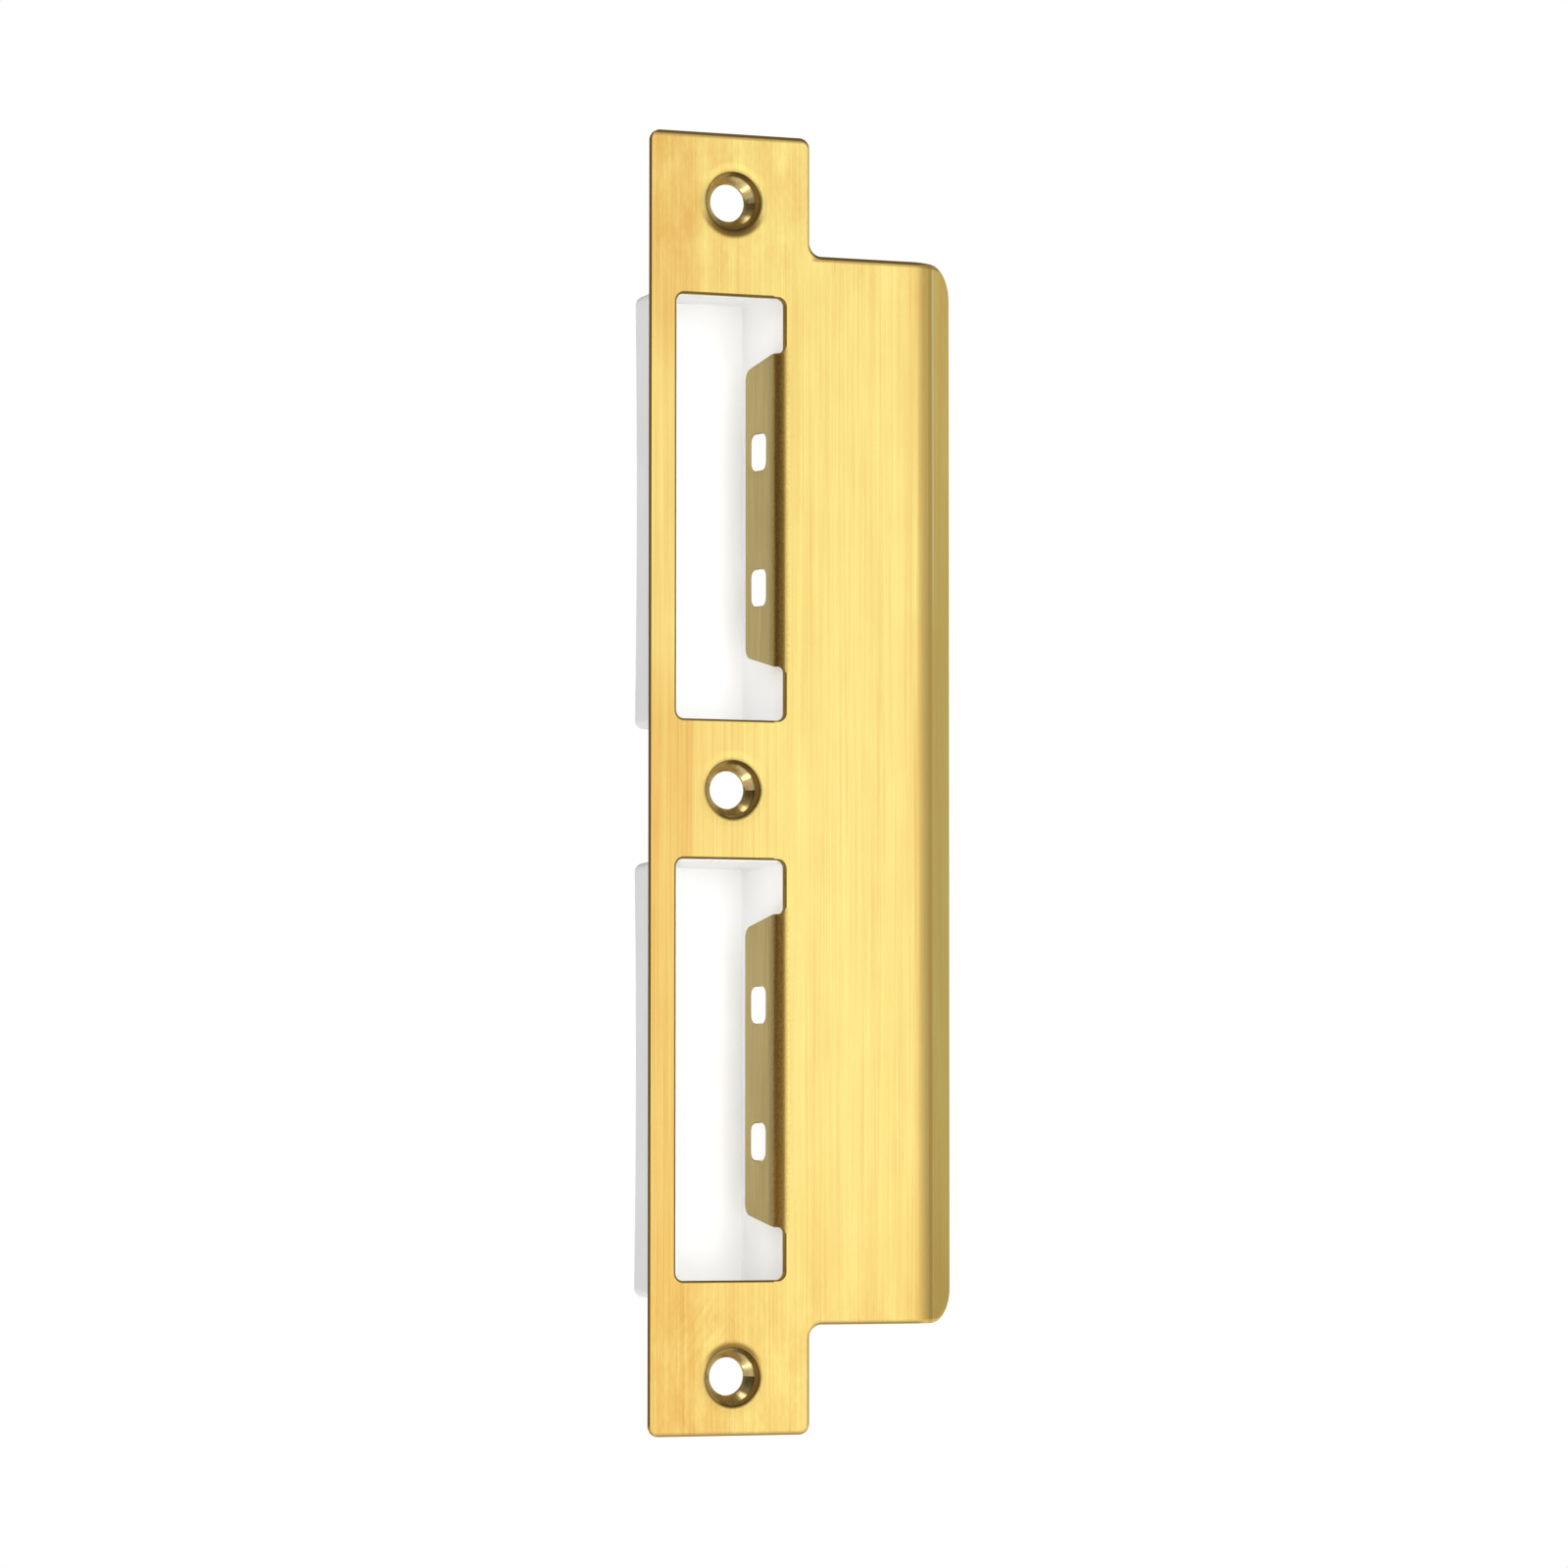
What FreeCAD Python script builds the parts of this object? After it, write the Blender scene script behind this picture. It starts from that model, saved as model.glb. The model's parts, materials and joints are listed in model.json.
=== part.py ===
import FreeCAD, Part
import math
import os

# A folded door strike plate with a moulded dust box behind each bolt opening, in millimetres.
# X runs across the plate towards its lip, Z up its length, and +Y into the door frame.
# The origin is midway between the outer fixing holes, on the back face that seats on the frame.

Vec = FreeCAD.Vector
ACROSS = Vec(1, 0, 0)
INWARD = Vec(0, 1, 0)
UP = Vec(0, 0, 1)

# Flat plate, seen from the front
sheet = 1.4
left_edge = -16.2
tab_right_edge = 15.5
ledge_height = 99.15
upper_tab_length = 21.97
lower_tab_length = 20.15
tab_corner = 2.0
ledge_corner = 2.4
edge_round = 0.85

# Angled lip along the middle of the right side
lip_bend_start = 36.13
lip_bend_radius = 7.0
lip_angle = 36.0
lip_flat = 7.75
lip_corner = 6.4

# Bolt openings
opening_left = -11.2
opening_right = 10.5
opening_outer_end = 90.87
web_height = 25.8
web_centre = -0.6
opening_corner = 1.5
opening_edge_round = 0.3

# Tongue folded back at the right side of each opening
tongue_bend_start = 11.35
tongue_bend_radius = 3.1
tongue_angle = 84.0
tongue_flat = 9.2
tongue_root_flare = 0.4
tongue_tip_taper = 2.0
tongue_corner = 2.2
tongue_root_round = 1.1
upper_tongue_length = 57.5
lower_tongue_length = 56.9
upper_tongue_z = 51.55
lower_tongue_z = -52.3

# Slots in each tongue, measured along it from its fold
slot_start = 1.15
slot_width = 5.8
slot_height = 7.1
slot_corner = 1.7
slot_spacing = 25.3
upper_slots_z = 50.1
lower_slots_z = -52.8

# Dimpled countersinks for the fixing screws
hole_spacing = 217.0
hole_radius = 3.52
cone_radius = 5.4
dimple_radius = 5.9
dimple_dip = 0.12
cone_depth = 2.8
dimple_depth = 3.7
dimple_rim = 0.9
dimple_blend = 1.6
dip_sag = 0.3

# Dust boxes
upper_box_length = 82.4
lower_box_length = 81.9
box_left = -11.5
box_right = 12.6
box_depth = 21.9
box_wall = 0.8
box_draft = 0.8
box_end_draft = 0.6
box_corner = 1.6
box_inner_corner = 0.8
box_back_round = 1.2
upper_box_z = 52.2
lower_box_z = -53.9
box_bow = 0.6
barb_clearance = 0.12
barb_slope = 0.3

# Cutters start in front of the sheet and run out behind it
cut_start = -2 * sheet
cut_length = 3 * sheet

# How near counts as touching, and how near a length or a place must be to pick an edge of the tongue
touch = 0.001
edge_match = 0.07
tip_match = 0.28


def line(a, b):
    """A straight edge between two points."""
    return Part.LineSegment(a, b).toShape()


def arc(a, middle, b):
    """An arc of a circle through three points."""
    return Part.Arc(a, middle, b).toShape()


def rounded_outline(corners, radii, to_point, bow=0.0):
    """A closed wire through corners (pairs), each rounded by its own radius.
    to_point turns a pair into a point. The side that runs back to the first corner bows inwards by bow."""
    count = len(corners)
    starts = []
    middles = []
    ends = []
    for i in range(count):
        here = Vec(corners[i][0], corners[i][1], 0)
        before = Vec(corners[i - 1][0], corners[i - 1][1], 0)
        after = Vec(corners[(i + 1) % count][0], corners[(i + 1) % count][1], 0)
        to_before = (before - here).normalize()
        to_after = (after - here).normalize()
        half_angle = to_before.getAngle(to_after) / 2
        reach = radii[i] / math.tan(half_angle)
        bisector = (to_before + to_after).normalize()
        starts.append(here + to_before * reach)
        middles.append(here + bisector * (radii[i] / math.sin(half_angle) - radii[i]))
        ends.append(here + to_after * reach)
    edges = []
    for i in range(count):
        following = (i + 1) % count
        if radii[i] > 0:
            edges.append(arc(to_point(starts[i]), to_point(middles[i]), to_point(ends[i])))
        run = starts[following] - ends[i]
        if following == 0 and bow > 0:
            middle = ends[i] + run * 0.5 + Vec(-run.y, run.x, 0).normalize() * bow
            edges.append(arc(to_point(ends[i]), to_point(middle), to_point(starts[following])))
        elif run.Length > touch:
            edges.append(line(to_point(ends[i]), to_point(starts[following])))
    return Part.Wire(edges)


def front_view(depth):
    """Turns a pair (x, z) into a point at this depth behind the back face."""
    return lambda p: Vec(p.x, depth, p.y)


def side_view(p):
    """Turns a pair (y, z) into a point on the plane x = 0."""
    return Vec(0, p.x, p.y)


def rectangle(left, right, bottom, top):
    """The corners of a rectangle, counter-clockwise."""
    return [(left, bottom), (right, bottom), (right, top), (left, top)]


def plate_ends():
    """The heights of the plate's bottom and top edges."""
    return -ledge_height - lower_tab_length, ledge_height + upper_tab_length


def plate_blank():
    """The flat sheet: a narrow tab at each end, and ledges where the lip begins.
    Its front edges are rounded, but for the left side, which stays crisp."""
    bottom, top = plate_ends()
    corners = [
        (left_edge, bottom),
        (tab_right_edge, bottom),
        (tab_right_edge, -ledge_height),
        (lip_bend_start, -ledge_height),
        (lip_bend_start, ledge_height),
        (tab_right_edge, ledge_height),
        (tab_right_edge, top),
        (left_edge, top),
    ]
    radii = [0, tab_corner, ledge_corner, 0, 0, ledge_corner, tab_corner, 0]
    blank = Part.Face(rounded_outline(corners, radii, front_view(-sheet))).extrude(INWARD * sheet)
    blank = blank.makeFillet(edge_round, [e for e in blank.Edges if is_rounded_edge(e)])
    around = rectangle(left_edge, lip_bend_start, bottom, top)
    frame = rounded_outline(around, [tab_corner, 0, 0, tab_corner], front_view(-sheet))
    return blank.common(Part.Face(frame).extrude(INWARD * sheet))


def fold_section(bend_start, side, radius, angle, flat):
    """The section of a fold and the flat beyond it, seen along Z.
    side is 1 for a fold to the right and -1 for one to the left."""
    turn = math.radians(angle)
    centre = Vec(bend_start, radius - sheet, 0)

    def on_bend(distance, part_of_turn):
        swing = turn * part_of_turn
        return centre + Vec(side * math.sin(swing), -math.cos(swing), 0) * distance

    along = Vec(side * math.cos(turn), math.sin(turn), 0) * flat
    outer = [on_bend(radius, share) for share in (0, 0.5, 1)]
    inner = [on_bend(radius - sheet, share) for share in (0, 0.5, 1)]
    wire = Part.Wire([
        arc(*outer),
        line(outer[2], outer[2] + along),
        line(outer[2] + along, inner[2] + along),
        line(inner[2] + along, inner[2]),
        arc(inner[2], inner[1], inner[0]),
        line(inner[0], outer[0]),
    ])
    return Part.Face(wire)


def fold_plane(bend_start, side, radius, angle):
    """Where the flat beyond a fold begins on its front face, the way it runs and the way its front faces."""
    turn = math.radians(angle)
    start = Vec(bend_start + side * radius * math.sin(turn), radius - sheet - radius * math.cos(turn), 0)
    along = Vec(side * math.cos(turn), math.sin(turn), 0)
    facing = Vec(side * math.sin(turn), -math.cos(turn), 0)
    return start, along, facing


def lip():
    """The lip: a gentle fold along the right side, its flat cut to two large rounded corners."""
    section = fold_section(lip_bend_start, 1, lip_bend_radius, lip_angle, lip_flat)
    section.translate(UP * -ledge_height)
    strip = section.extrude(UP * 2 * ledge_height)
    start, along, facing = fold_plane(lip_bend_start, 1, lip_bend_radius, lip_angle)
    bend_reach = 2 * lip_bend_radius

    def on_lip(p):
        return start + along * p.x + UP * p.y + facing * sheet

    corners = rectangle(-bend_reach, lip_flat, -ledge_height, ledge_height)
    outline = rounded_outline(corners, [0, lip_corner, lip_corner, 0], on_lip)
    trim = Part.Face(outline).extrude(facing * -(cut_length + lip_bend_radius))
    cut_lip = strip.common(trim)
    return cut_lip.makeFillet(edge_round, [e for e in cut_lip.Edges if is_lip_rim(e)])


def openings():
    """The bottom and top of each bolt opening."""
    upper = (web_centre + web_height / 2, opening_outer_end)
    lower = (-opening_outer_end, web_centre - web_height / 2)
    return upper, lower


def opening_cutter(bottom, top):
    """The rounded bolt opening, running past both faces of the sheet."""
    corners = rectangle(opening_left, opening_right, bottom, top)
    outline = rounded_outline(corners, [opening_corner] * 4, front_view(cut_start))
    return Part.Face(outline).extrude(INWARD * cut_length)


def tongue_halves(length):
    """Half the tongue's width in Z at the end of its fold, at its root, and where the root's round ends."""
    fold_half = length / 2
    root_half = fold_half + tongue_root_flare
    return fold_half, root_half, root_half + tongue_root_round


def tongue_root_cutter(z, length):
    """The strip of flat sheet beside an opening that the fold of its tongue takes the place of."""
    round_half = tongue_halves(length)[2]
    left = opening_right - opening_corner
    near_corner = Vec(left, cut_start, z - round_half)
    return Part.makeBox(tongue_bend_start - left, cut_length, 2 * round_half, near_corner)


def tongue_side_trim(z, length):
    """The tongue's outline seen from the side, widest at its root and tapering to its tip, as a cutter."""
    start, along = fold_plane(tongue_bend_start, -1, tongue_bend_radius, tongue_angle)[:2]
    fold_half, root_half, round_half = tongue_halves(length)
    front = cut_start
    tip = (start + along * tongue_flat).y + sheet
    tip_half = fold_half - tongue_tip_taper * (tip - start.y) / tongue_flat
    corners = [
        (front, -round_half),
        (0, -round_half),
        (0, -root_half),
        (start.y, -fold_half),
        (tip, -tip_half),
        (tip, tip_half),
        (start.y, fold_half),
        (0, root_half),
        (0, round_half),
        (front, round_half),
    ]
    outline = rounded_outline(corners, [0] * len(corners), side_view)
    trim = Part.Face(outline).extrude(ACROSS * 4 * tongue_bend_radius)
    trim.translate(ACROSS * (tongue_bend_start - 3 * tongue_bend_radius) + UP * z)
    return trim


def tongue_front_trim(z, length):
    """The tongue's root seen from the front, with a small round into the side of the opening, as a cutter."""
    root_half, round_half = tongue_halves(length)[1:]
    far = tongue_bend_start - 3 * tongue_bend_radius
    corners = [
        (tongue_bend_start, -round_half),
        (tongue_bend_start, round_half),
        (opening_right, round_half),
        (opening_right, root_half),
        (far, root_half),
        (far, -root_half),
        (opening_right, -root_half),
        (opening_right, -round_half),
    ]
    radii = [0, 0, 0, tongue_root_round, 0, 0, tongue_root_round, 0]
    outline = rounded_outline(corners, radii, front_view(cut_start))
    trim = Part.Face(outline).extrude(INWARD * 4 * tongue_flat)
    trim.translate(UP * z)
    return trim


def slot_centres(slots_z):
    """The heights of the two slots of a tongue, either side of this height."""
    return slots_z - slot_spacing / 2, slots_z + slot_spacing / 2


def slot_prism(z, gap, from_depth, to_depth):
    """A rounded bar through a slot, shrunk by gap all round, between two depths behind the tongue's face."""
    start, along, facing = fold_plane(tongue_bend_start, -1, tongue_bend_radius, tongue_angle)

    def on_tongue(p):
        return start + along * p.x + UP * p.y - facing * from_depth

    near = slot_start + gap
    far = slot_start + slot_width - gap
    half = slot_height / 2 - gap
    outline = rounded_outline(rectangle(near, far, z - half, z + half), [slot_corner - gap] * 4, on_tongue)
    return Part.Face(outline).extrude(facing * (from_depth - to_depth))


def tongue(z, length, slots_z):
    """The folded tongue of one opening with its two slots."""
    round_half = tongue_halves(length)[2]
    section = fold_section(tongue_bend_start, -1, tongue_bend_radius, tongue_angle, tongue_flat)
    section.translate(UP * (z - round_half))
    strip = section.extrude(UP * 2 * round_half)
    blade = strip.common(tongue_side_trim(z, length)).common(tongue_front_trim(z, length))
    blade = blade.makeFillet(tongue_corner, [e for e in blade.Edges if is_tip_corner(e)])
    for slot_z in slot_centres(slots_z):
        blade = blade.cut(slot_prism(slot_z, 0, -sheet, 2 * sheet))
    return blade


def is_tip_corner(edge):
    """Whether this edge runs through the sheet at a corner of the tongue's tip."""
    start, along = fold_plane(tongue_bend_start, -1, tongue_bend_radius, tongue_angle)[:2]
    points = [v.Point for v in edge.Vertexes]
    if len(points) != 2 or abs(edge.Length - sheet) > edge_match:
        return False
    level = abs(points[0].z - points[1].z) < edge_match
    return level and all((p - start).dot(along) > tongue_flat - tip_match for p in points)


def hole_heights():
    """The heights of the three fixing holes."""
    return -hole_spacing / 2, web_centre, hole_spacing / 2


def dimple_blank_radius():
    """The radius of the plug of flat sheet that each dimple takes the place of."""
    return dimple_radius + dimple_blend


def dimple():
    """A countersink pressed into the sheet about the origin: a dip, a sharp cone and a short straight hole."""
    front = -sheet
    plug = dimple_blank_radius()
    cone_slope = (cone_radius - hole_radius) / (cone_depth - dimple_dip)
    outer_foot = hole_radius + dimple_rim
    outer_shoulder_y = front + sheet + dimple_dip
    outer_shoulder = outer_foot + (front + dimple_depth - outer_shoulder_y) * cone_slope

    def point(radius, y):
        return Vec(radius, y, 0)

    dip_start = point(dimple_radius, front)
    dip_middle = point((dimple_radius + cone_radius) / 2, front + dimple_dip * dip_sag)
    cone_top = point(cone_radius, front + dimple_dip)
    cone_foot = point(hole_radius, front + cone_depth)
    hole_foot = point(hole_radius, front + dimple_depth)
    rim_foot = point(outer_foot, front + dimple_depth)
    shoulder = point(outer_shoulder, outer_shoulder_y)
    back_middle = point((outer_shoulder + plug) / 2, outer_shoulder_y - dimple_dip * (1 - dip_sag))
    back_end = point(plug, 0)
    wire = Part.Wire([
        line(point(plug, front), dip_start),
        arc(dip_start, dip_middle, cone_top),
        line(cone_top, cone_foot),
        line(cone_foot, hole_foot),
        line(hole_foot, rim_foot),
        line(rim_foot, shoulder),
        arc(shoulder, back_middle, back_end),
        line(back_end, point(plug, front)),
    ])
    return Part.Face(wire).revolve(Vec(0, 0, 0), INWARD, 360)


def is_front_edge(edge):
    """Whether this edge lies on the plate's front face."""
    points = [v.Point for v in edge.Vertexes] + [edge.CenterOfMass]
    return all(abs(p.y + sheet) < touch for p in points)


def is_rounded_edge(edge):
    """Whether this edge of the blank is a front edge at a tab or a ledge."""
    return is_front_edge(edge) and abs(edge.CenterOfMass.z) > ledge_height / 2


def is_opening_edge(edge):
    """Whether this edge is the front edge of a bolt opening."""
    middle = edge.CenterOfMass
    across = opening_left - sheet < middle.x < opening_right + sheet
    return is_front_edge(edge) and across and abs(middle.z) < ledge_height - sheet


def is_lip_rim(edge):
    """Whether this edge is on the lip's front rim: its fold's ends, its rounded corners or its long edge."""
    start, along, facing = fold_plane(lip_bend_start, 1, lip_bend_radius, lip_angle)
    centre = Vec(lip_bend_start, lip_bend_radius - sheet, 0)
    points = edge.discretize(5)
    on_flat = all(abs((p - start).dot(facing)) < touch for p in points)
    along_fold = on_flat and all((p - start).dot(along) < touch for p in points)
    on_fold = all(abs((Vec(p.x, p.y, 0) - centre).Length - lip_bend_radius) < touch for p in points)
    across_fold = abs(points[0].z - points[-1].z) < touch
    at_end = abs(points[0].z) > ledge_height - touch
    return (on_flat and not along_fold) or (on_fold and across_fold and at_end)


def tongues():
    """The height, length and slot height of each tongue."""
    upper = (upper_tongue_z, upper_tongue_length, upper_slots_z)
    lower = (lower_tongue_z, lower_tongue_length, lower_slots_z)
    return upper, lower


def strike_plate():
    """The whole metal plate as one folded sheet."""
    body = plate_blank().fuse(lip())
    for bottom, top in openings():
        body = body.cut(opening_cutter(bottom, top))
    body = body.removeSplitter()
    body = body.makeFillet(opening_edge_round, [e for e in body.Edges if is_opening_edge(e)])
    for z, length, slots_z in tongues():
        body = body.cut(tongue_root_cutter(z, length))
        body = body.fuse(tongue(z, length, slots_z))
    for z in hole_heights():
        plug = Part.makeCylinder(dimple_blank_radius(), cut_length, Vec(0, cut_start, z), INWARD)
        pressed = dimple()
        pressed.translate(UP * z)
        body = body.cut(plug).fuse(pressed)
    return body.removeSplitter().Solids[0]


def box_outline(z, length, inset, depth_share):
    """A box's outline less inset all round, at this share of its depth, with its left side bowed inwards."""
    side = inset + box_draft * depth_share
    end = inset + box_end_draft * depth_share
    half = length / 2 - end
    corners = rectangle(box_left + side, box_right - side, z - half, z + half)
    bow = box_bow * (1 - depth_share / 2)
    return rounded_outline(corners, [0] * 4, front_view(box_depth * depth_share), bow)


def box_block(z, length, inset, depth, corner):
    """A tapered block with the outline of a box less inset all round, its four long corners rounded."""
    outlines = [box_outline(z, length, inset, share) for share in (0, depth / box_depth)]
    block = Part.makeLoft(outlines, True, True)
    corners = [e for e in block.Edges if e.BoundBox.YLength > depth / 2]
    return block.makeFillet(corner, corners)


def barb(z):
    """A barb that fills one slot of the tongue, its face sloping in towards the front."""
    start, along, facing = fold_plane(tongue_bend_start, -1, tongue_bend_radius, tongue_angle)
    bar = slot_prism(z, barb_clearance, 0, box_right - box_left)
    near = start + along * slot_start
    far = near + along * slot_width
    slope = Part.Face(Part.makePolygon([near, far, near - facing * barb_slope, near]))
    slope.translate(UP * (z - slot_height / 2))
    return bar.cut(slope.extrude(UP * slot_height))


def dust_box(z, length, slots_z):
    """A moulded dust box: thin tapered walls, a rounded back, and barbs that fill the slots of the tongue."""
    shell = box_block(z, length, 0, box_depth, box_corner)
    back_edges = [e for e in shell.Edges if min(v.Point.y for v in e.Vertexes) > box_depth - box_wall]
    shell = shell.makeFillet(box_back_round, back_edges)
    box = shell.cut(box_block(z, length, box_wall, box_depth - box_wall, box_inner_corner))
    for slot_z in slot_centres(slots_z):
        box = box.fuse(barb(slot_z).common(shell))
    return box.removeSplitter().Solids[0]


def main():
    os.makedirs("parts", exist_ok=True)
    nodes = {
        "strike_plate": strike_plate(),
        "dust_box_upper": dust_box(upper_box_z, upper_box_length, upper_slots_z),
        "dust_box_lower": dust_box(lower_box_z, lower_box_length, lower_slots_z),
    }
    for name, shape in nodes.items():
        print(name, "solids", len(shape.Solids), "volume", round(shape.Volume, 1), "valid", shape.isValid())
        shape.exportStep("parts/" + name + ".step")


main()
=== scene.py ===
"""A folded strike plate of brushed, brass-coloured sheet with two white dust boxes, in a plain pale studio.

Lengths are in metres, in the part's own frame: X across the plate, Z up its length, +Y into the door frame.
The finishes are worked out from fields, which are numbers that vary over a piece, such as the height on it.
"""

import json
import math

import bpy
from mathutils import Matrix, Vector


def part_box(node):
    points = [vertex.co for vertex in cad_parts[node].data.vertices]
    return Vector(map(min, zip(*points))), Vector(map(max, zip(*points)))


MM = 0.001

# The camera stands to the left of the plate and a little low, as the photograph was taken
CAMERA_PLACE = (-448.287 * MM, -1108.219 * MM, -64.465 * MM)
CAMERA_TURN = math.radians(22.5)
CAMERA_TILT = math.radians(3.109)
CAMERA_ROLL = math.radians(0.022)
CAMERA_LENS = 149.0
CAMERA_SENSOR = 36.0
CAMERA_CLIP = (0.05, 50.0)

# The plate's outline, openings, lip and countersinks. A pair is where something starts and where it ends
TAB_RIGHT = 15.5 * MM
TAB_START = (97.0 * MM, 98.0 * MM)
LEDGE_TOP = 99.15 * MM
OPENING_LEFT = -11.2 * MM
OPENING_RIGHT = 10.5 * MM
OPENING_CORNER = 1.5 * MM
UPPER_OPENING = (12.3 * MM, 90.87 * MM)
LOWER_OPENING = (-90.87 * MM, -13.5 * MM)
LIP_START = 35.0 * MM
LIP_FOLD_END = 40.2 * MM
MIDDLE_HOLE_Z = -0.6 * MM
CONE_RADIUS = 5.4 * MM
CONE_STEP = 4.75 * MM
CONE_FOOT = 3.5 * MM

# Noise: the size of its cells across, into and up the piece, a shift that sets it apart, and its detail
HAIR_LINES = ((0.28 * MM, 0.8 * MM, 40 * MM), 3.1, 1.0)
BRUSH_LINES = ((0.8 * MM, 1.6 * MM, 60 * MM), 7.7, 2.0)
BROAD_BANDS = ((4 * MM, 5 * MM, 80 * MM), 1.3, 1.5)
PATCHES = ((4 * MM, 5 * MM, 10 * MM), 8.8, 2.0)
MOTTLE = ((0.5 * MM, 0.8 * MM, 1.8 * MM), 6.3, 2.0)
SCUFFS = ((0.7 * MM, MM, 5 * MM), 2.9, 1.0)
FLECKS = ((0.3 * MM, 0.3 * MM, 0.45 * MM), 4.4, 3.0)
TONGUE_STREAKS = ((MM, 0.5 * MM, 18 * MM), 9.6, 2.0)
TURNED_RINGS = ((0.22 * MM, MM, MM), 6.0, 2.0)
PLASTIC_CLOUDS = ((14 * MM, 14 * MM, 20 * MM), 2.2, 2.0)
PLASTIC_GRAIN = ((0.35 * MM, 0.35 * MM, 0.35 * MM), 5.0, 2.0)

# The middle of any noise, and the spreads over which it mixes two values
NOISE_MIDDLE = 0.5
WIDE_SPREAD = (0.3, 0.7)
NARROW_SPREAD = (0.35, 0.65)

# Brush lines: what each kind adds to the gold's depth, the middle of their sum, and their share on the tabs
HAIR_WEIGHT = 1.2
BRUSH_WEIGHT = 0.6
BAND_WEIGHT = 0.7
LINES_MIDDLE = 1.2
LINES_ON_TABS = 0.75

# Gloss: the roughness over the hair lines, how much smoother the countersinks are, and the height of fine lines
HAIR_ROUGHNESS = (0.27, 0.35)
CONE_POLISH = 0.08
HAIR_BUMP = 0.25
FINE_DEPTH = 0.02 * MM

# How deep the gold is by place, from 0 where it is palest to 1
LEFT_STRIP = (-10 * MM, -4 * MM)
LEFT_DEPTH = 1.1
PALE_STRETCH_START = (6 * MM, 34 * MM)
PALE_STRETCH_END = (66 * MM, 96 * MM)
MIDDLE_STRIP = (-5 * MM, 13 * MM)
MIDDLE_DEPTH = 0.35
TOWARDS_TOP = (62 * MM, 108 * MM)
TOP_DEPTH = 0.16
TOWARDS_BOTTOM = (-108 * MM, -62 * MM)
BOTTOM_DEPTH = 0.42
# Towards the lip and in its fold, the deeper gold is painted shade
TOWARDS_LIP = (31 * MM, 37 * MM)
LIP_SHADE_DEPTH = 0.25
LIP_FOLD = (LIP_START + 2.8 * MM, LIP_FOLD_END - 0.4 * MM)
LIP_FOLD_SHADE_DEPTH = 0.35
TOWARDS_TABS = (88 * MM, 102 * MM)
PATCH_STRENGTH = (0.5, 1.7)
MOTTLE_WEIGHT = 0.5
PATCH_MIDDLE = 0.75
DEEPEST = 1.0

# Slanting scuffs on the lower tab
SCUFF_PLACE = (-6.0 * MM, -100.0 * MM)
SCUFF_REACH = (3.0 * MM, 9.0 * MM)
SCUFF_SLANT = math.radians(38)

# The lip: painted shade along its middle, painted shade in the crease where its fold ends, and a thin painted
# highlight line beside the crease
LIP_SHADE_ACROSS = (LIP_START + 2 * MM, LIP_FOLD_END)
LIP_SHADE_UP = (-25 * MM, 25 * MM)
LIP_SHADE_FADE = 50 * MM
LIP_SHADE_SHARE = 0.22
CREASE = (LIP_FOLD_END - 0.2 * MM, LIP_FOLD_END + 0.5 * MM)
CREASE_FADE = 0.35 * MM
HIGHLIGHT_LINE = (LIP_FOLD_END + 0.95 * MM, LIP_FOLD_END + 1.15 * MM)
HIGHLIGHT_LINE_FADE = 0.15 * MM
HIGHLIGHT_LINE_UP = (25 * MM, 50 * MM)
HIGHLIGHT_LINE_SHARE = 0.8

# Outer edges: how far the painted shade on the side and ends reaches, which way they face, and the band of
# painted shade along the top edges
SIDE_FACING = (-0.9, -0.6)
SIDE_REACH = (0.05 * MM, 0.2 * MM)
UP_FACING = (0.0, 0.25)
DOWN_FACING = (-0.65, -0.25)
ENDS_RIGHT = (LIP_START + 2 * MM, LIP_START + 4 * MM)
ENDS_BACK = (-0.2 * MM, 0.0)
TOP_BAND = 1.3 * MM
TOP_BAND_FADE = 0.4 * MM
TOP_BAND_SHARE = 0.8

# Openings: the painted shade on the rim round them, and on their cut sides
RIM = (0.3 * MM, 0.5 * MM)
CUT_BACK = (0.0, 0.2 * MM)
CUT_FREE_OF_FOLD = (8.0 * MM, 8.5 * MM)
CUT_ENDS_FACING = (0.15, 0.4)
CUT_RIGHT_FACING = (-0.95, -0.85)

# Tongues: where they start at the left, their fold with its painted shade, and the flecks beside it
TONGUE_LEFT = (4 * MM, 5 * MM)
FOLD_RIGHT = (11.9 * MM, 12.9 * MM)
FOLD_TURN = (-0.02, 0.5)
FOLD_TO_TONGUE = (-0.5 * MM, 1.0 * MM)
FLECKS_UP = (22.5 * MM, 81.0 * MM)
FLECKS_ACROSS = (10.2 * MM, 11.2 * MM)
FLECK_SHARE = 0.65

# Countersinks: the blend into the plate, the painted dark line of shade, the rim's painted shade, the dip's
# shaded side, and the dip
CONE_BLEND = (CONE_RADIUS, CONE_RADIUS + 0.2 * MM)
CONE_SHADE_LINE_REACH = (CONE_RADIUS - 0.25 * MM, CONE_RADIUS - 0.05 * MM)
CONE_STEP_REACH = (CONE_STEP - 0.1 * MM, CONE_STEP + 0.1 * MM)
RIM_SHADE_REACH = (CONE_STEP - 0.3 * MM, CONE_STEP)
RIM_SHADE_RIGHT = (0.3, 0.9)
RIM_SHADE_SHARE = 0.6
DIP_SHADE_REACH = (CONE_RADIUS - 0.9 * MM, CONE_RADIUS)
DIP_SHADE_SIDE = (-0.85, -0.2)
DIP_SHADE_SHARE = 0.95
DIP_SHADE_WIDTH = (1.3 * MM, 1.8 * MM)
MIDDLE_OF_PLATE = (-MM, MM)
DIP_REACH = (4.4 * MM, 7.4 * MM)
DIP_DEPTH = (0.3, 0.5)
INNER_CONE_RISE = 0.38

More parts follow.
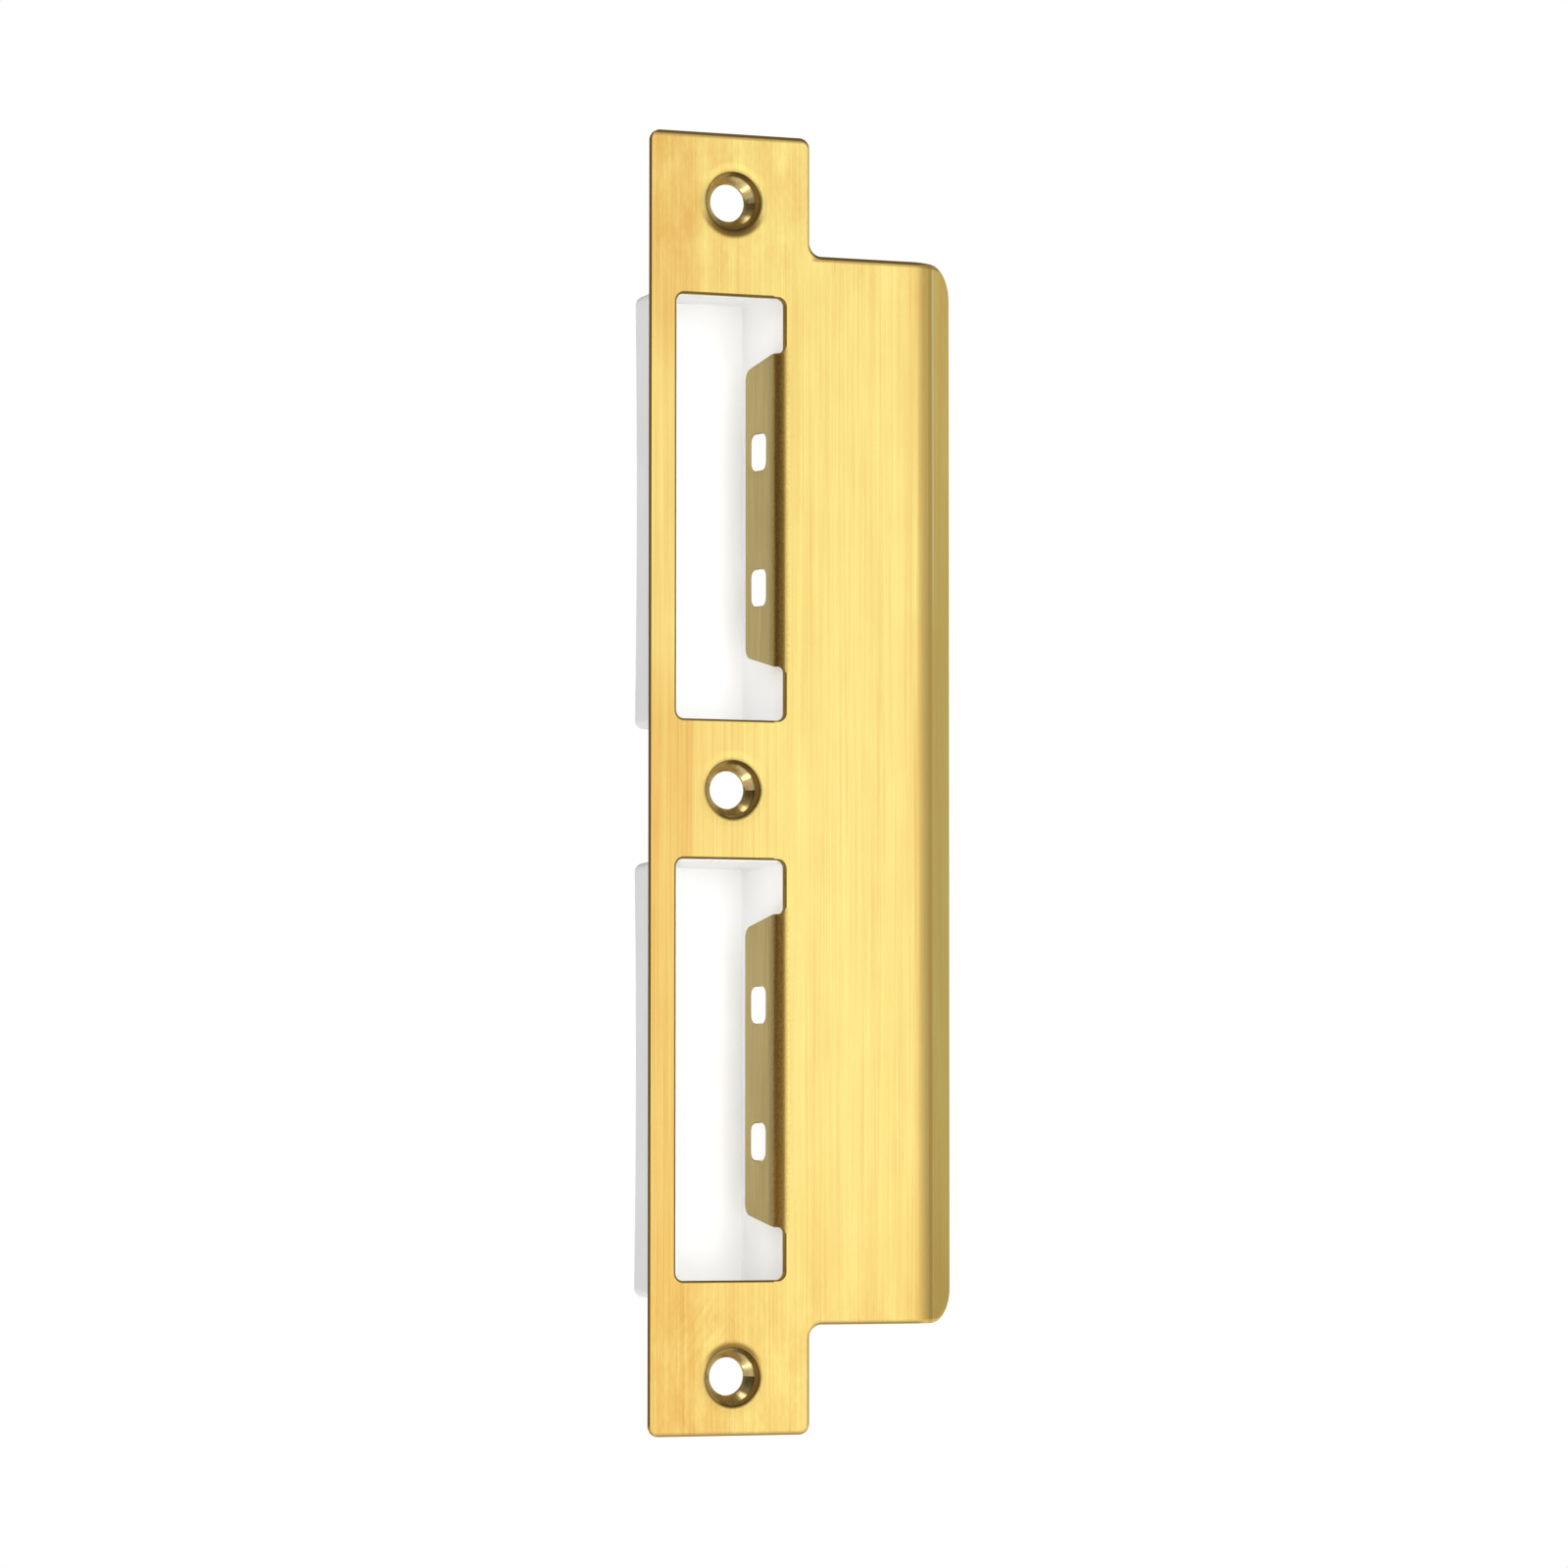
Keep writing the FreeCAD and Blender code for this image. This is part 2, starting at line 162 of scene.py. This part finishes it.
# Brass-coloured metal, as linear colours
GOLD = (0.97, 0.77, 0.25)
GOLD_DEEP = (0.865, 0.575, 0.165)
# The tongue's olive gold is painted darker as its shade, with streaks
SHADED_TONGUE_GOLD = (0.425, 0.350, 0.172)
SHADED_TONGUE_DEEP = (0.372, 0.306, 0.152)
# Painted shade round each tongue's fold, with darker flecks
FOLD_SHADE = (0.58, 0.335, 0.085)
FLECKED_FOLD_SHADE = (0.44, 0.24, 0.05)
# Inside the countersinks: turned rings painted darker than the plate as their shade, painted shade on the rim,
# and a painted dark line of shade
SHADED_CONE_GOLD = (0.80, 0.62, 0.28)
SHADED_CONE_BROWN = (0.55, 0.41, 0.18)
CONE_RIM_SHADE = (0.44, 0.32, 0.14)
CONE_SHADE_LINE = (0.20, 0.13, 0.04)
# Painted shade on the side of the countersinks' dip nearer the middle
DIP_SHADE_COLOUR = (0.34, 0.20, 0.05)
# Painted shade on the plate's cut left side and on its rounded top and bottom edges
EDGE_SHADE = (0.48, 0.32, 0.10)
# Painted shade on the openings' rims and cut sides
CUT_SHADE = (0.21, 0.135, 0.038)
# Painted shade in the lip's crease, and a painted highlight beside it
CREASE_SHADE = (0.72, 0.50, 0.15)
CREASE_HIGHLIGHT = (1.0, 0.92, 0.55)
# Painted shade along the middle of the lip
LIP_SHADE = (0.50, 0.37, 0.13)
GRAZING_TINT = (0.87, 0.74, 0.46)

# White plastic
PLASTIC_WHITE = (0.94, 0.94, 0.937)
PLASTIC_SHADE = (0.90, 0.90, 0.895)
PLASTIC_ROUGHNESS = 0.45
PLASTIC_BUMP = 0.1

# Light boxes: the way to each from the part, its distance, its width and height, and its power in watts
LIGHT_BOXES = {
    "main_box": ((0.284, -0.959, 0.13), 1.8, (1.95, 1.5), 7.3),
    "side_box": ((0.804, -0.595, 0.10), 1.8, (0.54, 1.5), 1.2),
    "far_side_box": ((0.946, -0.326, 0.30), 1.8, (0.57, 1.5), 0.75),
    "right_box": ((0.99, 0.139, 0.33), 1.8, (1.17, 1.4), 1.6),
    "rear_right_box": ((0.73, 0.66, 0.18), 1.8, (1.0, 1.2), 1.5),
    "front_box": ((-0.42, -0.91, 0.0), 1.5, (2.4, 3.0), 38.0),
    "fill_box": ((0.25, -0.97, 0.0), 1.5, (2.0, 3.0), 13.0),
    "upper_left_box": ((-0.33, -0.22, 0.92), 1.3, (0.4, 0.4), 1.5),
    "lower_left_box": ((-0.575, -0.327, -0.75), 1.3, (0.5, 0.5), 3.0),
}
PLASTIC_LIGHTS = ("front_box", "fill_box")

# The room and the floor
WHITE = (1.0, 1.0, 1.0)
ROOM_LIGHT = 0.25
DARK_SIDE = (-0.9, -0.65)
DARK_SIDE_SHARE = 0.25
FLOOR_DROP = 0.95
FLOOR_RADIUS = 9.0
FLOOR_SIDES = 96
FLOOR_COLOUR = (0.90, 0.90, 0.90)
FLOOR_ROUGHNESS = 0.9
FLOOR_GLOW = 0.55


class Field:
    """A number, vector or colour that varies over a piece, as a shader node gives it. A sum on fields adds
    the node that works it out."""

    def __init__(self, tree, socket):
        self.tree = tree
        self.socket = socket

    def sum(self, operation, *others):
        """The result of one sum on this field and the others."""
        made = node(self.tree, "ShaderNodeMath", dict(enumerate((self, *others))), operation=operation)
        return Field(self.tree, made.outputs[0])

    def __add__(self, other):
        return self.sum("ADD", other)

    def __sub__(self, other):
        return self.sum("SUBTRACT", other)

    def __mul__(self, other):
        return self.sum("MULTIPLY", other)

    def __truediv__(self, other):
        return self.sum("DIVIDE", other)

    def __abs__(self):
        return self.sum("ABSOLUTE")

    def ramp(self, reach, start=0.0, end=1.0, smooth=True):
        """Goes from start to end while this field goes over reach, and is held before and after."""
        made = node(self.tree, "ShaderNodeMapRange", {
            "Value": self, "From Min": reach[0], "From Max": reach[1], "To Min": start, "To Max": end,
        }, interpolation_type="SMOOTHSTEP" if smooth else "LINEAR")
        return Field(self.tree, made.outputs["Result"])

    def fall(self, reach, start=1.0):
        """Goes from start to 0 while this field goes over reach."""
        return self.ramp(reach, start, 0.0)

    def window(self, reach, fade):
        """1 within reach, falling to 0 over fade on either side."""
        low, high = reach
        return self.ramp((low - fade, low)) * self.fall((high, high + fade))


def node(tree, kind, inputs=None, **settings):
    """A shader node with its settings, and with each input given a value or linked to a field."""
    made = tree.nodes.new(kind)
    for name, value in settings.items():
        setattr(made, name, value)
    for name, value in (inputs or {}).items():
        put(tree, made.inputs[name], value)
    return made


def put(tree, socket, value):
    """Sets a socket to a value, or links it to a field."""
    if isinstance(value, Field):
        tree.links.new(value.socket, socket)
    elif socket.type == "RGBA":
        socket.default_value = (*value, 1.0)
    else:
        socket.default_value = value


def largest(first, *others):
    """The largest of some fields at each point."""
    for other in others:
        first = first.sum("MAXIMUM", other)
    return first


def smallest(first, *others):
    """The smallest of some fields at each point."""
    for other in others:
        first = first.sum("MINIMUM", other)
    return first


def length(across, up):
    """The length of a line from how far it goes across and up."""
    return (across.sum("POWER", 2.0) + up.sum("POWER", 2.0)).sum("SQRT")


def split(vector):
    """The three parts of a field of vectors."""
    made = node(vector.tree, "ShaderNodeSeparateXYZ", {0: vector})
    return [Field(vector.tree, output) for output in made.outputs]


def flat_place(x, z=0.0):
    """A place from how far it is across and up."""
    made = node(x.tree, "ShaderNodeCombineXYZ", {"X": x, "Z": z})
    return Field(x.tree, made.outputs[0])


def blend(share, first, second, beyond=False):
    """Two colours mixed by a share, which is held from 0 to 1 unless it may go beyond."""
    made = node(share.tree, "ShaderNodeMix", {0: share, 6: first, 7: second},
                data_type="RGBA", clamp_factor=not beyond)
    return Field(share.tree, made.outputs[2])


def grain(place, noise):
    """Noise from 0 to 1 at each place, from the size of its cells, its shift and its detail."""
    size, shift, detail = noise
    mapped = node(place.tree, "ShaderNodeMapping", {
        "Vector": place,
        "Location": (shift, shift * 2, shift * 3),
        "Scale": tuple(1.0 / side for side in size),
    })
    moved = Field(place.tree, mapped.outputs[0])
    made = node(place.tree, "ShaderNodeTexNoise", {"Vector": moved, "Scale": 1.0, "Detail": detail})
    return Field(place.tree, made.outputs[0])


def bump(height, strength, depth, normal=None):
    """The normal of a surface raised by a height, over another normal if one is given."""
    inputs = {"Height": height, "Strength": strength, "Distance": depth}
    if normal is not None:
        inputs["Normal"] = normal
    return Field(height.tree, node(height.tree, "ShaderNodeBump", inputs).outputs[0])


class Finish:
    """A new material, with its shader and the fields that it is worked out from: the place on the piece,
    as x, y and z, and how far the surface faces +X and +Z."""

    def __init__(self, name):
        self.material = bpy.data.materials.new(name)
        self.material.use_nodes = True
        self.tree = self.material.node_tree
        self.tree.nodes.clear()
        self.shader = node(self.tree, "ShaderNodeBsdfPrincipled")
        output = node(self.tree, "ShaderNodeOutputMaterial")
        self.tree.links.new(self.shader.outputs[0], output.inputs[0])
        given = node(self.tree, "ShaderNodeTexCoord").outputs
        self.place = Field(self.tree, given["Object"])
        self.x, self.y, self.z = split(self.place)
        facing = split(Field(self.tree, given["Normal"]))
        self.facing_x, self.facing_z = facing[0], facing[2]

    def set(self, **values):
        """Sets the shader's inputs, with an underscore for each space in a name."""
        for name, value in values.items():
            put(self.tree, self.shader.inputs[name.replace("_", " ")], value)


def hole_heights(record):
    """The heights of the three fixing holes, from the record's hole spacing."""
    mount = next(m for m in record["mounts"] if m["name"] == "fixing_holes")
    half = mount["dims"]["spacing_y_mm"] * MM / 2
    return -half, MIDDLE_HOLE_Z, half


def hole_distance(brass, heights):
    """The distance from the axis of the nearest fixing hole."""
    return smallest(*[length(brass.x, brass.z - height) for height in heights])


def brushing(hair, brass):
    """Brush lines along Z about 0: hair lines, broader lines and bands, calmer on the tabs."""
    lines = hair * HAIR_WEIGHT + grain(brass.place, BRUSH_LINES) * BRUSH_WEIGHT
    lines = lines + grain(brass.place, BROAD_BANDS) * BAND_WEIGHT
    return (lines - LINES_MIDDLE) * abs(brass.z).ramp(TOWARDS_TABS, 1.0, LINES_ON_TABS)


def scuffs(brass):
    """Faint slanting scuffs about 0 on the lower tab, which are noise along axes turned by their slant."""
    across = brass.x * math.cos(SCUFF_SLANT) - brass.z * math.sin(SCUFF_SLANT)
    along = brass.x * math.sin(SCUFF_SLANT) + brass.z * math.cos(SCUFF_SLANT)
    away = length(brass.x - SCUFF_PLACE[0], brass.z - SCUFF_PLACE[1])
    return (grain(flat_place(across, along), SCUFFS) - NOISE_MIDDLE) * away.fall(SCUFF_REACH)


def patches(brass):
    """Patches and mottle about 0, stronger on the tabs, with the scuffs of the lower one."""
    patch = grain(brass.place, PATCHES) + grain(brass.place, MOTTLE) * MOTTLE_WEIGHT - PATCH_MIDDLE
    return patch * abs(brass.z).ramp(TOWARDS_TABS, *PATCH_STRENGTH) + scuffs(brass)


def warmth(brass):
    """How deep the gold is by place: most along the left strip, apart from its pale stretch, and more towards
    the tabs; deeper towards the lip and in its fold, which is painted shade."""
    pale_stretch = brass.z.ramp(PALE_STRETCH_START) * brass.z.fall(PALE_STRETCH_END)
    left = brass.x.fall(LEFT_STRIP) * (pale_stretch * -1.0 + LEFT_DEPTH)
    middle = brass.x.fall(MIDDLE_STRIP, MIDDLE_DEPTH)
    lip = brass.x.ramp(TOWARDS_LIP, 0.0, LIP_SHADE_DEPTH)
    top = brass.z.ramp(TOWARDS_TOP, 0.0, TOP_DEPTH)
    bottom = brass.z.fall(TOWARDS_BOTTOM, BOTTOM_DEPTH)
    fold = brass.x.window(LIP_FOLD, MM) * LIP_FOLD_SHADE_DEPTH
    return smallest(largest(left, middle, lip) + top + bottom, DEEPEST) + fold


def crease(brass, colour):
    """The plate's colour, with painted shade along the middle of the lip, painted shade in the crease where its
    fold ends, and a thin painted highlight beside it."""
    middle = brass.x.ramp(LIP_SHADE_ACROSS) * brass.z.window(LIP_SHADE_UP, LIP_SHADE_FADE)
    colour = blend(middle * LIP_SHADE_SHARE, colour, LIP_SHADE)
    colour = blend(brass.x.window(CREASE, CREASE_FADE), colour, CREASE_SHADE)
    light = brass.x.window(HIGHLIGHT_LINE, HIGHLIGHT_LINE_FADE)
    return blend(light * brass.z.ramp(HIGHLIGHT_LINE_UP, 0.0, HIGHLIGHT_LINE_SHARE), colour, CREASE_HIGHLIGHT)


def top_band(brass, edge):
    """1 in the band below a top edge at one height."""
    return brass.z.ramp((edge - TOP_BAND, edge - TOP_BAND + TOP_BAND_FADE))


def outer_edges(brass, colour):
    """The plate's colour, with painted shade on its cut left side and along its rounded top and bottom edges.
    """
    low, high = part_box("strike_plate")
    side = brass.facing_x.fall(SIDE_FACING) * (brass.x - low[0]).fall(SIDE_REACH)
    ends = largest(brass.facing_z.ramp(UP_FACING), brass.facing_z.fall(DOWN_FACING))
    ends = ends * abs(brass.z).ramp(TAB_START) * brass.x.fall(ENDS_RIGHT) * brass.y.fall(ENDS_BACK)
    ledge = brass.x.ramp((TAB_RIGHT, TAB_RIGHT + MM)) * top_band(brass, LEDGE_TOP)
    band = largest(top_band(brass, high[2]), ledge) * TOP_BAND_SHARE
    return blend(largest(side, ends, band), colour, EDGE_SHADE)


def from_opening(brass, bottom, top):
    """The distance outwards from the rounded outline of one opening, negative inside it."""
    beyond = []
    for place, low, high in ((brass.x, OPENING_LEFT, OPENING_RIGHT), (brass.z, bottom, top)):
        off_middle = abs(place - (low + high) / 2)
        beyond.append(largest(off_middle - ((high - low) / 2 - OPENING_CORNER), 0.0))
    return length(*beyond) - OPENING_CORNER


def opening_edges(brass, colour):
    """The plate's colour, with painted dark shade on the openings' rims and cut sides, but not on the tongues'
    folds.
    """
    away = smallest(from_opening(brass, *UPPER_OPENING), from_opening(brass, *LOWER_OPENING))
    ends = abs(brass.facing_z).ramp(CUT_ENDS_FACING)
    cut = largest(ends, brass.x.fall(CUT_FREE_OF_FOLD), brass.facing_x.fall(CUT_RIGHT_FACING))
    return blend(cut * away.fall(RIM) * brass.y.fall(CUT_BACK), colour, CUT_SHADE)


def turned_in(brass, colour):
    """The plate's colour, with flecked painted shade round each tongue's fold, and a darker olive on the
    tongue, which is painted shade.
    """
    fleck = grain(brass.place, FLECKS)
    amount = abs(brass.z).window(FLECKS_UP, MM) * brass.x.ramp(FLECKS_ACROSS, 0.0, FLECK_SHARE)
    turn = brass.facing_x * -1.0 + (fleck - NOISE_MIDDLE) * amount
    share = brass.x.ramp(TONGUE_LEFT) * brass.x.fall(FOLD_RIGHT) * turn.ramp(FOLD_TURN)
    brown = blend(fleck.ramp(NARROW_SPREAD), FLECKED_FOLD_SHADE, FOLD_SHADE)
    tongue = blend(grain(brass.place, TONGUE_STREAKS).ramp(NARROW_SPREAD), SHADED_TONGUE_DEEP, SHADED_TONGUE_GOLD)
    return blend(share, colour, blend(brass.y.ramp(FOLD_TO_TONGUE), brown, tongue))


def dip_shade(brass, hole_height, away, colour):
    """The plate's colour, with shade in the dip of the outer countersinks on the side nearer the middle."""
    inwards = abs(brass.z) - hole_height
    width = brass.z.ramp(MIDDLE_OF_PLATE, *DIP_SHADE_WIDTH)
    shade = (inwards / away).fall(DIP_SHADE_SIDE, DIP_SHADE_SHARE) * (away - width).fall(DIP_SHADE_REACH)
    return blend(shade * abs(brass.z).ramp(TAB_START), colour, DIP_SHADE_COLOUR)


def countersunk(brass, away, inside, colour):
    """The plate's colour, with turned rings of brown and gold inside the countersinks, painted darker than the
    plate as their shade, a rim with painted shade that is darker at its right, and a painted dark line of shade
    round it."""
    cone = blend(grain(flat_place(away), TURNED_RINGS).ramp(WIDE_SPREAD), SHADED_CONE_BROWN, SHADED_CONE_GOLD)
    cone = blend(away.ramp(CONE_STEP_REACH), cone, CONE_RIM_SHADE)
    right = (brass.x / away).ramp(RIM_SHADE_RIGHT, 0.0, RIM_SHADE_SHARE) * away.ramp(RIM_SHADE_REACH)
    cone = blend(largest(right, away.ramp(CONE_SHADE_LINE_REACH)), cone, CONE_SHADE_LINE)
    return blend(inside, colour, cone)


def pressed(brass, away):
    """The normal of the plate where it dips towards each countersink, and of the shallower inner cone."""
    inner = away.ramp((CONE_FOOT, CONE_STEP), INNER_CONE_RISE, 0.0, smooth=False)
    dip = away.ramp(DIP_REACH, -1.0, 0.0) * brass.z.ramp(TAB_START, *DIP_DEPTH)
    return bump(inner + dip, 1.0, MM)


def brushed_brass(record):
    """Brass-coloured metal brushed along Z, with painted shade in its folds, on its edges and cut sides and in
    its countersinks, turned in the holes.
    """
    brass = Finish("brushed_brass")
    hair = grain(brass.place, HAIR_LINES)
    heights = hole_heights(record)
    away = hole_distance(brass, heights)
    inside = away.fall(CONE_BLEND)

    colour = blend(warmth(brass) + patches(brass) + brushing(hair, brass), GOLD, GOLD_DEEP, beyond=True)
    colour = crease(brass, colour)
    colour = outer_edges(brass, colour)
    colour = turned_in(brass, colour)
    colour = opening_edges(brass, colour)
    colour = dip_shade(brass, heights[2], away, colour)
    colour = countersunk(brass, away, inside, colour)

    roughness = hair.ramp(WIDE_SPREAD, *HAIR_ROUGHNESS, smooth=False) - inside * CONE_POLISH
    lines = hair * (inside * -1.0 + 1.0)
    normal = bump(lines, HAIR_BUMP, FINE_DEPTH, pressed(brass, away))
    brass.set(Base_Color=colour, Roughness=roughness, Metallic=1.0, Specular_Tint=GRAZING_TINT, Normal=normal)
    return brass.material


def white_plastic():
    """Moulded white plastic, slightly uneven in shade and grain."""
    plastic = Finish("moulded_white_plastic")
    colour = blend(grain(plastic.place, PLASTIC_CLOUDS).ramp(WIDE_SPREAD), PLASTIC_SHADE, PLASTIC_WHITE)
    normal = bump(grain(plastic.place, PLASTIC_GRAIN), PLASTIC_BUMP, FINE_DEPTH)
    plastic.set(Base_Color=colour, Roughness=PLASTIC_ROUGHNESS, Normal=normal)
    return plastic.material


def softbox(name, towards, distance, size, power):
    """A rectangular area light that stands off the origin in one direction and faces it."""
    light = bpy.data.lights.new(name, "AREA")
    light.shape = "RECTANGLE"
    light.size, light.size_y = size
    light.energy = power
    made = bpy.data.objects.new(name, light)
    bpy.context.scene.collection.objects.link(made)
    away = Vector(towards).normalized()
    made.location = away * distance
    made.rotation_mode = "QUATERNION"
    made.rotation_quaternion = away.to_track_quat("Z", "Y")
    made.visible_camera = False
    return made


def lights(frame):
    """Soft light: the flat plate mirrors the main box, and the lip the box at its right. Two boxes light the
    white plastic alone, so that the metal keeps its shade."""
    plastic = bpy.data.collections.new("plastic")
    for name in ("dust_box_upper", "dust_box_lower"):
        plastic.objects.link(frame["nodes"][name])
    for name, box in LIGHT_BOXES.items():
        made = softbox(name, *box)
        if name in PLASTIC_LIGHTS:
            made.light_linking.receiver_collection = plastic


def room():
    """A dim room, darkest at its left, that reads as plain white where the camera looks past the part."""
    world = bpy.data.worlds.new("room")
    bpy.context.scene.world = world
    world.use_nodes = True
    tree = world.node_tree
    tree.nodes.clear()
    seen = node(tree, "ShaderNodeBackground", {"Color": WHITE, "Strength": 1.0})
    towards = Field(tree, node(tree, "ShaderNodeTexCoord").outputs["Generated"])
    strength = split(towards)[0].ramp(DARK_SIDE, ROOM_LIGHT * DARK_SIDE_SHARE, ROOM_LIGHT)
    dim = node(tree, "ShaderNodeBackground", {"Color": WHITE, "Strength": strength})
    straight = Field(tree, node(tree, "ShaderNodeLightPath").outputs["Is Camera Ray"])
    mix = node(tree, "ShaderNodeMixShader", {0: straight})
    output = node(tree, "ShaderNodeOutputWorld")
    tree.links.new(dim.outputs[0], mix.inputs[1])
    tree.links.new(seen.outputs[0], mix.inputs[2])
    tree.links.new(mix.outputs[0], output.inputs["Surface"])


def floor():
    """A pale round floor well under the part."""
    bpy.ops.mesh.primitive_circle_add(
        vertices=FLOOR_SIDES, radius=FLOOR_RADIUS, fill_type="NGON", location=(0, 0, -FLOOR_DROP))
    made = bpy.context.object
    made.name = "floor"
    material = bpy.data.materials.new("pale_floor")
    material.use_nodes = True
    shader = material.node_tree.nodes["Principled BSDF"]
    shader.inputs["Base Color"].default_value = (*FLOOR_COLOUR, 1.0)
    shader.inputs["Roughness"].default_value = FLOOR_ROUGHNESS
    shader.inputs["Emission Color"].default_value = (*FLOOR_COLOUR, 1.0)
    shader.inputs["Emission Strength"].default_value = FLOOR_GLOW
    made.data.materials.append(material)


def camera():
    """The camera at the photograph's angle and distance."""
    data = bpy.data.cameras.new("camera")
    data.lens = CAMERA_LENS
    data.sensor_width = CAMERA_SENSOR
    data.clip_start, data.clip_end = CAMERA_CLIP
    made = bpy.data.objects.new("camera", data)
    bpy.context.scene.collection.objects.link(made)
    turn = Matrix.Rotation(-CAMERA_TURN, 4, "Z")
    tilt = Matrix.Rotation(math.pi / 2 + CAMERA_TILT, 4, "X")
    roll = Matrix.Rotation(CAMERA_ROLL, 4, "Z")
    made.matrix_world = Matrix.Translation(CAMERA_PLACE) @ turn @ tilt @ roll
    bpy.context.scene.camera = made


def dress(frame):
    """Gives each piece of the frame its finish."""
    brass = brushed_brass(frame["record"])
    plastic = white_plastic()
    finishes = {"strike_plate": brass, "dust_box_upper": plastic, "dust_box_lower": plastic}
    for name, material in finishes.items():
        frame["nodes"][name].material_slots[0].material = material


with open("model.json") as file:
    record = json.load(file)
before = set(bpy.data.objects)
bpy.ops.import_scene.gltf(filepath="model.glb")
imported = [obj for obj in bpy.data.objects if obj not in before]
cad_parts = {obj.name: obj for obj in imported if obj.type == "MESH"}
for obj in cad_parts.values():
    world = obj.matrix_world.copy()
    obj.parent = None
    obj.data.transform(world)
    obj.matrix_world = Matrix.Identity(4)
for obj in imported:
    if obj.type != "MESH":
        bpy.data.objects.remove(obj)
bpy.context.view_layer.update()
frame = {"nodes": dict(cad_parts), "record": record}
camera()
room()
lights(frame)
floor()
dress(frame)
bpy.context.scene.view_settings.view_transform = "Standard"
